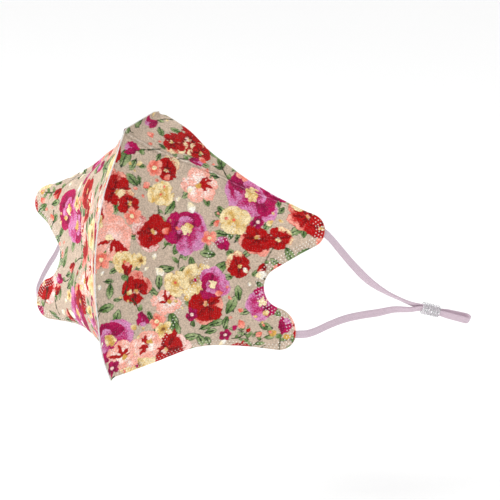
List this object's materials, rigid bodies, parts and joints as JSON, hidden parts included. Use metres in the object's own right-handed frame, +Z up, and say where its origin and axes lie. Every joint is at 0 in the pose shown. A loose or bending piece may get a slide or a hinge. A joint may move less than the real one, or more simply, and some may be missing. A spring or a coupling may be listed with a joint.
{
  "type": "respirator mask",
  "caption": "Folding beak face mask of printed cloth panels welded along a centre seam, with elastic ear loops shortened by ribbed adjusters; shown open as when worn.",
  "frame": {"origin": "where the wearer's face sits: in the mirror plane, halfway from the top of the nose seam to the chin", "axes": "+X to the wearer's left, +Y back into the wearer's face, +Z up; the welded centre seam lies in the YZ plane at the front, -Y"},
  "size_m": [0.2696, 0.1994, 0.1445],
  "materials": {
    "printed_cloth": "matte",
    "elastic": "matte",
    "silicone": "satin"
  },
  "bodies": {
    "root": {"left_panel": "printed_cloth", "right_panel": "printed_cloth", "left_ear_loop": "elastic", "right_ear_loop": "elastic", "left_adjuster": "silicone", "right_adjuster": "silicone"}
  },
  "joints": []
}
